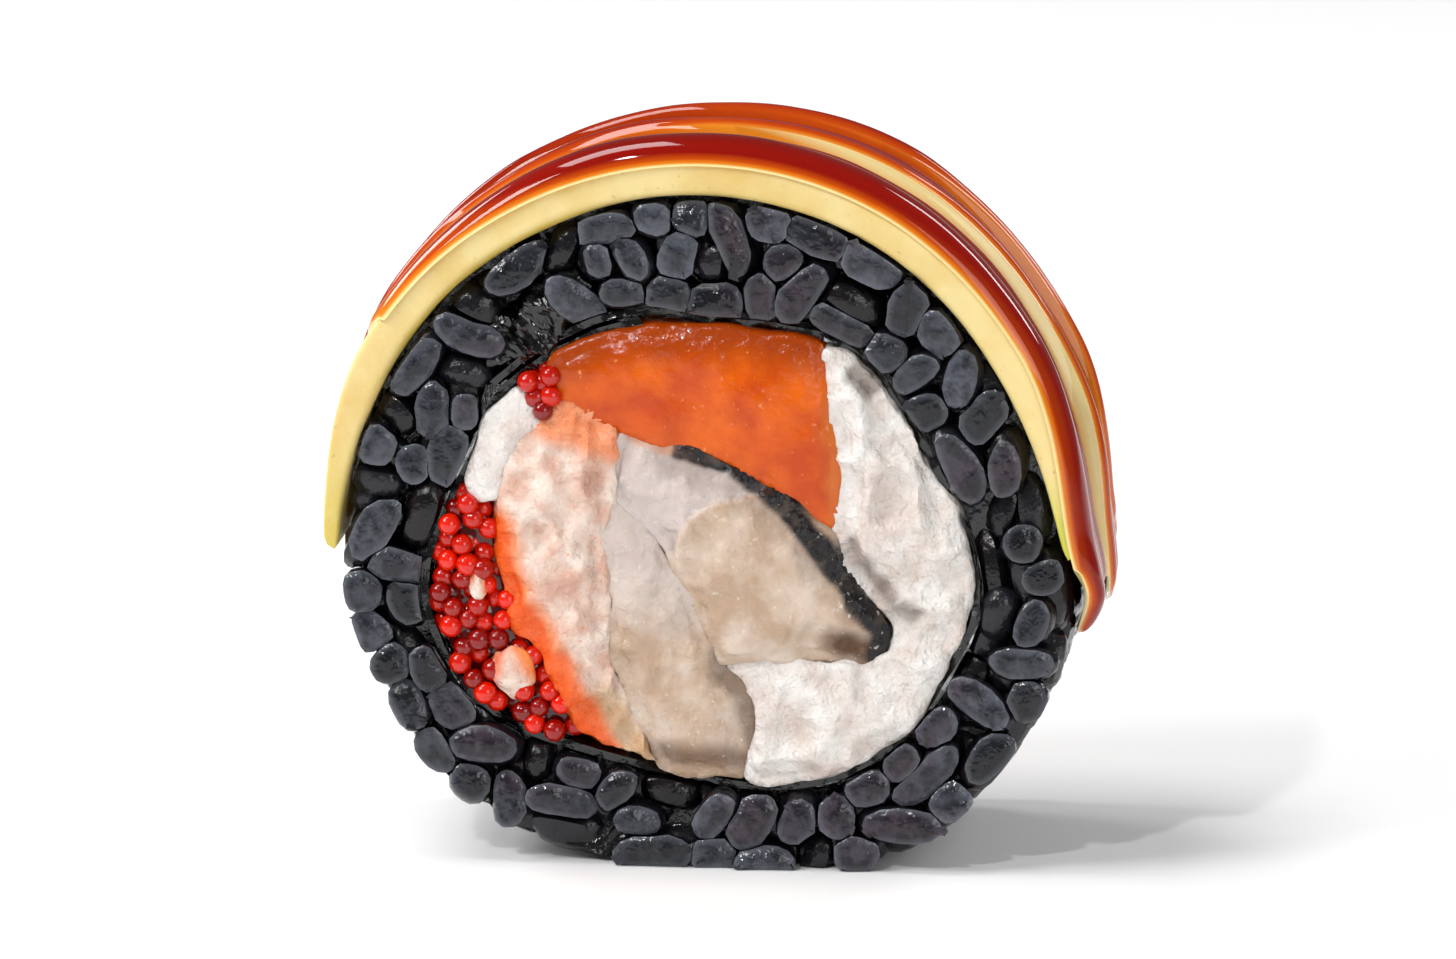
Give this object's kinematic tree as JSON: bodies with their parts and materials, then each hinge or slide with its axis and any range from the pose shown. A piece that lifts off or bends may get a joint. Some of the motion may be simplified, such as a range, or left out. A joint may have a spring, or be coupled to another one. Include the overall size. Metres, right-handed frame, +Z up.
{
  "type": "uramaki roll piece",
  "caption": "Cut piece of a black rice uramaki roll with salmon, fish, shrimp, cream cheese and roe, topped with fanned avocado slices and a dark glossy sauce.",
  "frame": {"origin": "middle of the piece on the surface it stands on", "axes": "+Z up, Y along the roll's axis, and the cut face with the detailed fillings looks along -Y"},
  "size_m": [0.0546, 0.0248, 0.051],
  "materials": {
    "black_rice": "wet gloss",
    "nori": "thin satin sheet",
    "salmon": "moist satin",
    "fish": "moist satin",
    "shrimp": "moist satin",
    "cream_cheese": "soft matte",
    "roe": "clear gloss",
    "avocado": "soft satin",
    "sauce": "high gloss"
  },
  "bodies": {
    "root": {"rice": "black_rice", "nori": "nori", "salmon": "salmon", "fish_upper": "fish", "fish_lower": "fish", "shrimp": "shrimp", "cream_cheese": "cream_cheese", "cream_cheese_left": "cream_cheese", "roe": "roe", "roe_upper": "roe", "avocado_slice_1": "avocado", "avocado_slice_2": "avocado", "avocado_slice_3": "avocado", "sauce": "sauce"}
  },
  "joints": []
}
